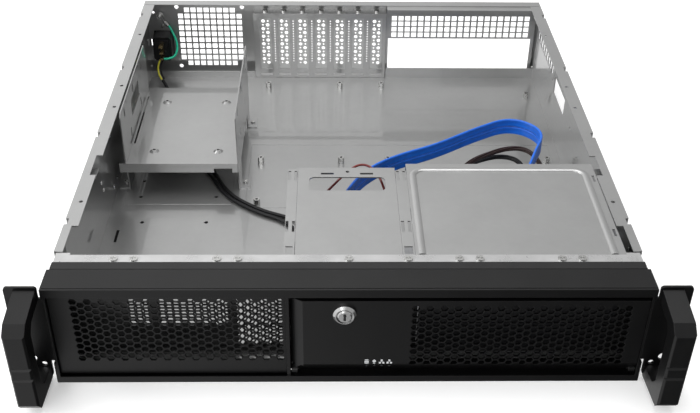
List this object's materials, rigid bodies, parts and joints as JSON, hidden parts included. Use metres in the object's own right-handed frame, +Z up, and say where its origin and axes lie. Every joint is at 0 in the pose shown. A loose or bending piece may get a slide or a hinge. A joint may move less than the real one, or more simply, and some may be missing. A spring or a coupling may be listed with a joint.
{
  "type": "rack enclosure for network storage",
  "caption": "Two-unit rack enclosure for network storage, lid off, with a lockable drop-down door, rack ears with handles, a raised disk cage and its internal leads.",
  "frame": {"origin": "bottom centre of the whole enclosure, with its handles", "axes": "+X is to the right seen from the front, +Y runs from the front to the back, and +Z is up"},
  "size_m": [0.4826, 0.534, 0.088],
  "materials": {
    "zinc_sheet": "galvanised",
    "zinc_bright": "galvanised bright",
    "screw_steel": "nickel plated",
    "screw_black": "satin",
    "powder_black": "satin powder coat",
    "powder_grey": "satin powder coat",
    "handle_black": "satin powder coat",
    "black_plastic": "matte",
    "black_nylon": "satin",
    "lock_chrome": "polished",
    "clear_resin": "clear",
    "circuit_green": "solder mask",
    "contact_brass": "plain",
    "wire_green": "satin",
    "wire_yellow": "satin",
    "cable_black": "satin",
    "cable_blue": "satin",
    "cable_brown": "satin"
  },
  "bodies": {
    "chassis": {"chassis_base": "zinc_sheet", "rear_panel": "zinc_sheet", "slot_plate": "zinc_sheet", "slot_covers": "zinc_bright", "slot_cover_screws": "screw_steel", "io_panel": "zinc_sheet", "inlet_body": "black_nylon", "inlet_pins": "contact_brass", "inlet_screws": "screw_steel", "ground_stud": "screw_steel", "ground_terminal": "screw_steel", "cage_tray": "zinc_sheet", "cage_bracket_left": "zinc_sheet", "cage_bracket_right": "zinc_sheet", "front_wall": "zinc_bright", "wall_frame": "powder_grey", "flange_screws": "screw_steel", "mid_cover": "zinc_sheet", "bay_bracket_left": "zinc_sheet", "bay_bracket_right": "zinc_sheet", "bay_cover": "zinc_sheet", "bay_side": "zinc_sheet", "bezel_frame": "powder_black", "vent_panel": "powder_black", "bay_blanks": "black_plastic", "hinge_pins": "screw_steel", "control_panel": "powder_black", "usb_ports": "screw_steel", "control_board": "circuit_green", "ear_left": "powder_black", "ear_right": "powder_black", "handle_left": "handle_black", "handle_right": "handle_black", "handle_screws": "screw_steel", "ear_screws": "screw_black", "standoffs": "screw_steel", "rivets": "screw_steel", "floor_screws": "screw_steel", "earth_wire": "wire_green", "supply_wire": "wire_yellow", "neutral_wire": "cable_black", "mains_lead": "cable_black", "mains_plug": "black_plastic", "sata_lead_a": "cable_blue", "sata_lead_b": "cable_blue", "sata_plugs_a": "black_plastic", "sata_plugs_b": "black_plastic", "power_lead_a": "cable_brown", "power_lead_b": "cable_black", "power_plugs": "black_plastic", "signal_lead": "wire_green"},
    "door": {"door": "powder_black", "lock_body": "lock_chrome", "lock_nut": "lock_chrome", "light_pipes": "clear_resin", "indicator_board": "circuit_green"},
    "lock": {"lock_cylinder": "lock_chrome", "lock_cam": "screw_steel"},
    "power": {"power_button": "black_plastic"},
    "reset": {"reset_button": "black_plastic"}
  },
  "joints": [
    {"name": "door_hinge", "type": "hinge", "parent": "chassis", "child": "door", "pos_m": [0, -0.227, 0.0087], "axis": [1, 0, 0], "range_deg": [0, 90]},
    {"name": "lock_turn", "type": "hinge", "parent": "door", "child": "lock", "pos_m": [-0.0041, -0.2275, 0.0664], "axis": [0, 1, 0], "range_deg": [0, 90]},
    {"name": "power_press", "type": "slide", "parent": "chassis", "child": "power", "axis": [0, 1, 0], "range_m": [0, 0.0012], "stiffness_N_per_m": 400},
    {"name": "reset_press", "type": "slide", "parent": "chassis", "child": "reset", "axis": [0, 1, 0], "range_m": [0, 0.0012], "stiffness_N_per_m": 400}
  ]
}
